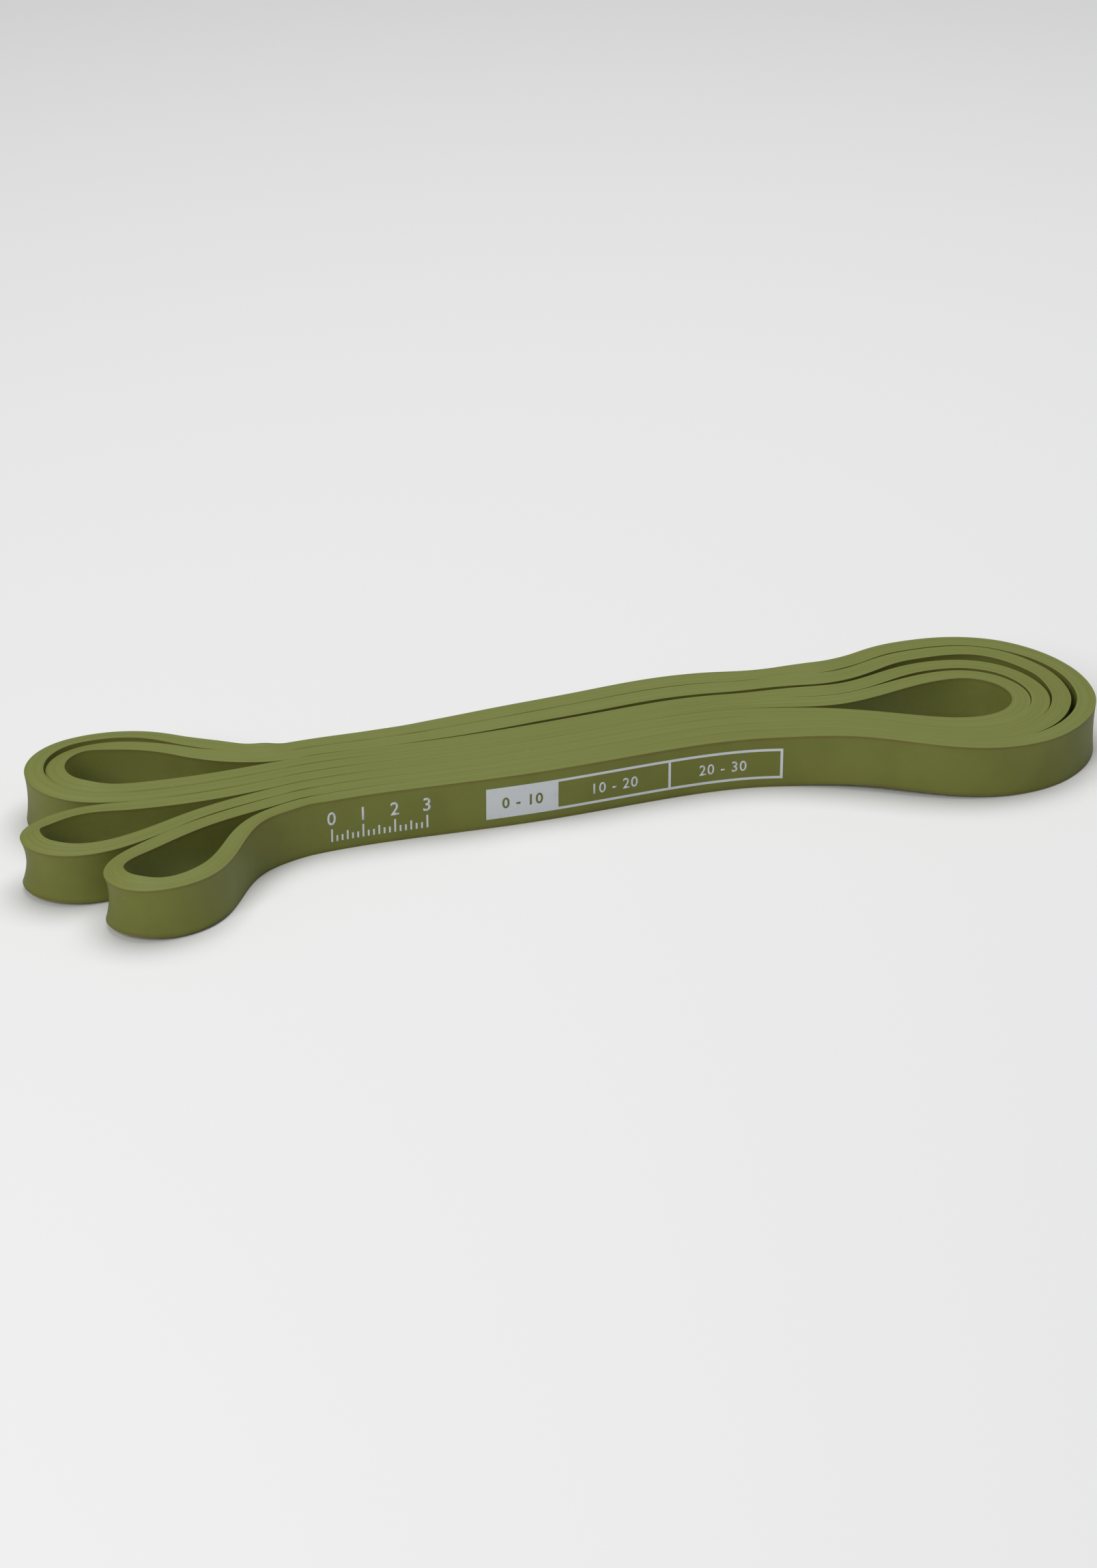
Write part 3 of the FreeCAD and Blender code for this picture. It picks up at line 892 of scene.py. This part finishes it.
class MakePrint(bpy.types.Operator):
    """Make the printed scale and the printed cells on the front run"""
    bl_idname = "band.make_print"
    bl_label = "Print"

    def execute(self, context):
        settings = context.scene.band_settings
        loop = band_loop(settings)
        start, end = SCALE_SPAN
        bars = []
        for tick in range(TICKS + 1):
            x = start + (end - start) * tick / TICKS
            top = SHORT_TICK if tick % 3 else MIDDLE_TICK if tick % 6 else LONG_TICK
            bars.append((x - TICK_HALF_WIDTH, x + TICK_HALF_WIDTH, TICK_BASE, top))
        marks = [flat_bar(*bar) for bar in bars]
        for number in range(4):
            x = start + (end - start) * number / 3
            marks.append(figures_mesh(str(number), x, SCALE_FIGURE_BASE, SCALE_FIGURE_SIZE))
        run = loop["strand_8"]
        finish_print(lay_print(marks, "printed_scale", settings, run), ink_material())
        cells = [(BLOCK[0], BLOCK[1], FRAME_LOW, FRAME_HIGH),
                 (BLOCK[1], LOOP_X, FRAME_LOW, FRAME_LOW + LINE),
                 (BLOCK[1], LOOP_X, FRAME_HIGH - LINE, FRAME_HIGH),
                 (CELL_WALL - LINE / 2, CELL_WALL + LINE / 2, FRAME_LOW + LINE, FRAME_HIGH - LINE)]
        first_cell = (BLOCK[1] + CELL_WALL) / 2
        last_cell = (CELL_WALL + FRAME_END) / 2 - LAST_CELL_SHIFT
        marks = [flat_bar(*cell) for cell in cells]
        marks += [figures_mesh("10 - 20", first_cell, CELL_FIGURE_BASE, CELL_FIGURE_SIZE),
                  figures_mesh("20 - 30", last_cell, CELL_FIGURE_BASE, CELL_FIGURE_SIZE)]
        finish_print(lay_print(marks, "printed_cells", settings, run), ink_material())
        dark = [figures_mesh("0 - 10", sum(BLOCK) / 2, CELL_FIGURE_BASE, CELL_FIGURE_SIZE)]
        finish_print(lay_print(dark, "block_figures", settings, run, 1.5 * INK_LIFT), dark_material())
        corner = [(LOOP_X, FRAME_END, FRAME_LOW, FRAME_LOW + LINE),
                  (LOOP_X, FRAME_END, FRAME_HIGH - LINE, FRAME_HIGH),
                  (FRAME_END - LINE, FRAME_END, FRAME_LOW + LINE, FRAME_HIGH - LINE)]
        turn = loop["right_turn_4"]
        ink = lay_print([flat_bar(*bar) for bar in corner], "printed_frame_end", settings, turn)
        finish_print(ink, ink_material())
        return {"FINISHED"}


class MakeStage(bpy.types.Operator):
    """Make the floor, the lamps and the camera"""
    bl_idname = "band.make_stage"
    bl_label = "Stage"

    def execute(self, context):
        make_floor()
        make_lamps()
        make_camera()
        return {"FINISHED"}


LOOK_AT = Vector((-0.0026, 0.0049, 0))
CAMERA_TURN = math.radians(19.5)
CAMERA_RISE = math.radians(25.688)
CAMERA_DISTANCE = 0.9065
CAMERA_LENS = 88.08
SENSOR_WIDTH = 36
FLOOR_SIZE = 40
FLOOR_COLOUR = (0.80, 0.80, 0.80, 1)
FLOOR_ROUGHNESS = 0.9
WORLD_LIGHT = 0.19
LAMPS = [("lamp_above", (0.2, 0.32, 1.2), 1.1, 12), ("lamp_left", (-0.85, -0.7, 0.75), 0.6, 8.6)]


def make_floor():
    """A wide pale floor."""
    bpy.ops.object.select_all(action="DESELECT")
    bpy.ops.mesh.primitive_plane_add(size=FLOOR_SIZE)
    floor = bpy.context.object
    floor.name = "floor"
    material, nodes, _ = new_material("pale_floor")
    nodes["Principled BSDF"].inputs["Base Color"].default_value = FLOOR_COLOUR
    nodes["Principled BSDF"].inputs["Roughness"].default_value = FLOOR_ROUGHNESS
    floor.data.materials.append(material)


def make_lamps():
    """A large soft lamp above, a weaker one from the left front, and an even world."""
    world = bpy.data.worlds.new("studio")
    bpy.context.scene.world = world
    world.use_nodes = True
    background = world.node_tree.nodes["Background"]
    background.inputs["Color"].default_value = (1, 1, 1, 1)
    background.inputs["Strength"].default_value = WORLD_LIGHT
    for name, place, size, power in LAMPS:
        add_lamp(name, place, size, power)


def add_lamp(name, place, size, power):
    """A square area lamp aimed at the object."""
    bpy.ops.object.select_all(action="DESELECT")
    bpy.ops.object.light_add(type="AREA", location=place)
    lamp = bpy.context.object
    lamp.name = name
    lamp.data.size = size
    lamp.data.energy = power
    lamp.rotation_euler = (LOOK_AT - Vector(place)).to_track_quat("-Z", "Y").to_euler()


def make_camera():
    """The camera, level, looking down at the bundle from its left front."""
    level = math.cos(CAMERA_RISE)
    forward = Vector((math.sin(CAMERA_TURN) * level, math.cos(CAMERA_TURN) * level, -math.sin(CAMERA_RISE)))
    bpy.ops.object.camera_add(location=LOOK_AT - forward * CAMERA_DISTANCE)
    camera = bpy.context.object
    camera.name = "camera"
    camera.rotation_euler = forward.to_track_quat("-Z", "Y").to_euler()
    camera.data.lens = CAMERA_LENS
    camera.data.sensor_width = SENSOR_WIDTH
    bpy.context.scene.camera = camera


class BandPanel(bpy.types.Panel):
    """Lists the pieces of the band"""
    bl_idname = "VIEW3D_PT_band"
    bl_label = "Folded resistance band"
    bl_space_type = "VIEW_3D"
    bl_region_type = "UI"
    bl_category = "Band"

    def draw(self, context):
        for operator in OPERATORS:
            self.layout.operator(operator.bl_idname)


OPERATORS = (MakeRuns, MakeRightLoop, MakeLobes, MakePrint, MakeStage)
CLASSES = (BandSettings, FinishSettings, *OPERATORS, BandPanel)


def register():
    """Registers the settings, the operators and the panel."""
    for item in CLASSES:
        bpy.utils.register_class(item)
    bpy.types.Scene.band_settings = bpy.props.PointerProperty(type=BandSettings)
    bpy.types.Scene.band_finish = bpy.props.PointerProperty(type=FinishSettings)


def unregister():
    """Removes them again."""
    del bpy.types.Scene.band_finish
    del bpy.types.Scene.band_settings
    for item in reversed(CLASSES):
        bpy.utils.unregister_class(item)


def main():
    """Makes every piece and the stage."""
    register()
    bpy.context.scene.view_settings.view_transform = "Standard"
    bpy.ops.band.make_runs()
    bpy.ops.band.make_right_loop()
    bpy.ops.band.make_lobes()
    bpy.ops.band.make_print()
    bpy.ops.band.make_stage()


if __name__ == "__main__":
    main()
